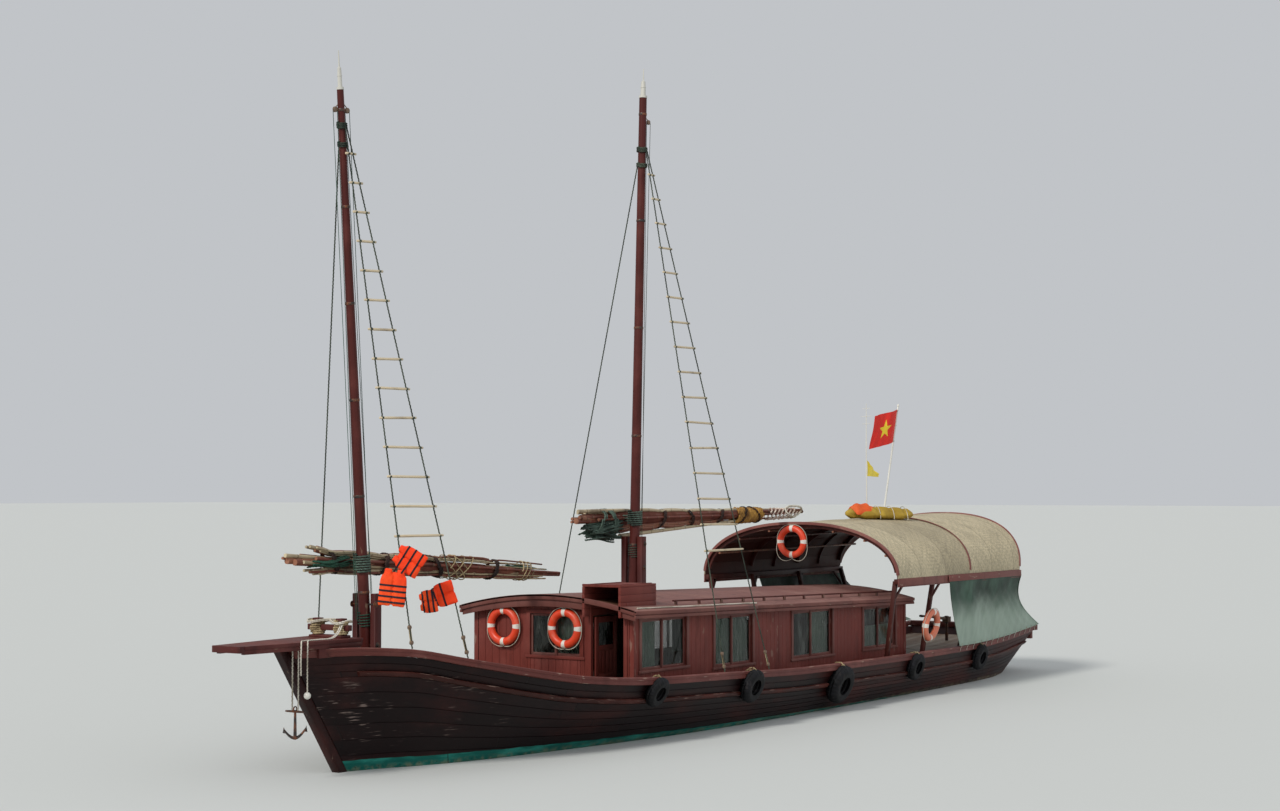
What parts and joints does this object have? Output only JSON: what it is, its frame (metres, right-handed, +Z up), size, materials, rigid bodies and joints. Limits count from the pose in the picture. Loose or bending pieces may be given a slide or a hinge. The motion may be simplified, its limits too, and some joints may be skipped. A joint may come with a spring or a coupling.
{
  "type": "wooden junk-type cabin boat",
  "caption": "Wooden junk-type passenger boat with a long cabin, barrel awning aft, raked bow, masts with furled sails and rope ladders, tyre fenders, rudder and screw.",
  "frame": {"origin": "amidships on the centreline, in the plane of the waterline", "axes": "+X forward to the bow, +Y to port, +Z up"},
  "size_m": [26.64, 5.1172, 13.65],
  "materials": {
    "hull_paint": "worn dark maroon paint over planks, teal below the boot-top",
    "trim_paint": "faded reddish brown paint",
    "deck_wood": "bare weathered planks",
    "cabin_paint": "semi-gloss red-brown paint",
    "roof_paint": "faded red-brown paint",
    "mast_paint": "dark red-brown paint",
    "window_glass": "dark glass with pale green curtains",
    "tarpaulin": "grey-green tarpaulin",
    "rope": "weathered rope and bare wooden rungs",
    "bamboo": "bamboo and sail cloth in lashings",
    "woven_mat": "khaki woven mat",
    "dark_iron": "rusty iron",
    "bronze": "dull bronze",
    "tyre_rubber": "worn black rubber",
    "orange_plastic": "orange-red with white bands",
    "orange_fabric": "bright orange fabric",
    "white_paint": "white paint",
    "flag_cloth": "red cloth"
  },
  "bodies": {
    "root": {"hull": "hull_paint", "bulwark_port": "hull_paint", "bulwark_starboard": "hull_paint", "keel": "hull_paint", "stem": "hull_paint", "deck": "deck_wood", "stern_rail": "trim_paint", "bow_platform": "trim_paint", "bow_bitts": "trim_paint", "anchor": "dark_iron", "cap_rail_port": "trim_paint", "cap_rail_starboard": "trim_paint", "wale_port": "trim_paint", "wale_starboard": "trim_paint", "cabin_wall_port": "cabin_paint", "cabin_wall_starboard": "cabin_paint", "windows_port": "window_glass", "windows_starboard": "window_glass", "window_front": "window_glass", "tarp_port": "tarpaulin", "tarp_starboard": "tarpaulin", "fore_tabernacle": "mast_paint", "foremast": "mast_paint", "main_tabernacle": "mast_paint", "mainmast": "mast_paint", "fore_ladder": "rope", "main_ladder": "rope", "fore_shroud": "rope", "main_shroud": "rope", "cabin_wall_front": "cabin_paint", "cabin_wall_aft": "cabin_paint", "cabin_roof": "roof_paint", "companion_hood": "cabin_paint", "awning_roof": "woven_mat", "awning_frame": "trim_paint", "engine": "dark_iron", "lifebuoy_awning": "orange_plastic", "lifebuoy_side": "orange_plastic", "lifebuoy_front_port": "orange_plastic", "lifebuoy_front_starboard": "orange_plastic", "life_jacket_upper": "orange_fabric", "life_jacket_lower": "orange_fabric", "flag_staff": "white_paint", "flag": "flag_cloth", "fender_port_1": "tyre_rubber", "fender_port_2": "tyre_rubber", "fender_port_3": "tyre_rubber", "fender_port_4": "tyre_rubber", "fender_port_5": "tyre_rubber", "fender_starboard_1": "tyre_rubber", "fender_starboard_2": "tyre_rubber", "fender_starboard_3": "tyre_rubber", "fender_starboard_4": "tyre_rubber", "fender_starboard_5": "tyre_rubber"},
    "fore_sail": {"fore_sail_bundle": "bamboo"},
    "main_sail": {"main_sail_bundle": "bamboo"},
    "front_door": {"cabin_door_front": "cabin_paint"},
    "aft_door": {"cabin_door_aft": "cabin_paint"},
    "screw": {"propeller": "bronze"},
    "steering": {"rudder": "hull_paint"}
  },
  "joints": [
    {"name": "rudder_turn", "type": "hinge", "parent": "root", "child": "steering", "pos_m": [-11.4, 0, 0], "axis": [0, 0, 1], "range_deg": [-35, 35]},
    {"name": "propeller_spin", "type": "hinge", "parent": "root", "child": "screw", "pos_m": [-10.7, 0, -0.6], "axis": [0.9917, 0, 0.1284], "continuous": true},
    {"name": "fore_sail_swing", "type": "hinge", "parent": "root", "child": "fore_sail", "pos_m": [10.46, 0, 1.69], "axis": [0.0785, 0, 0.9969], "range_deg": [-25, 30]},
    {"name": "main_sail_swing", "type": "hinge", "parent": "root", "child": "main_sail", "pos_m": [2.75, 0, 0.2003], "axis": [-0.035, 0, 0.9994], "range_deg": [-45, 45]},
    {"name": "front_door_hinge", "type": "hinge", "parent": "root", "child": "front_door", "pos_m": [5.2786, 0.855, 1.6], "axis": [0, 0, -1], "range_deg": [-5, 90]},
    {"name": "aft_door_hinge", "type": "hinge", "parent": "root", "child": "aft_door", "pos_m": [-5.5114, -0.357, 1.3], "axis": [0, 0, 1], "range_deg": [0, 100]}
  ]
}
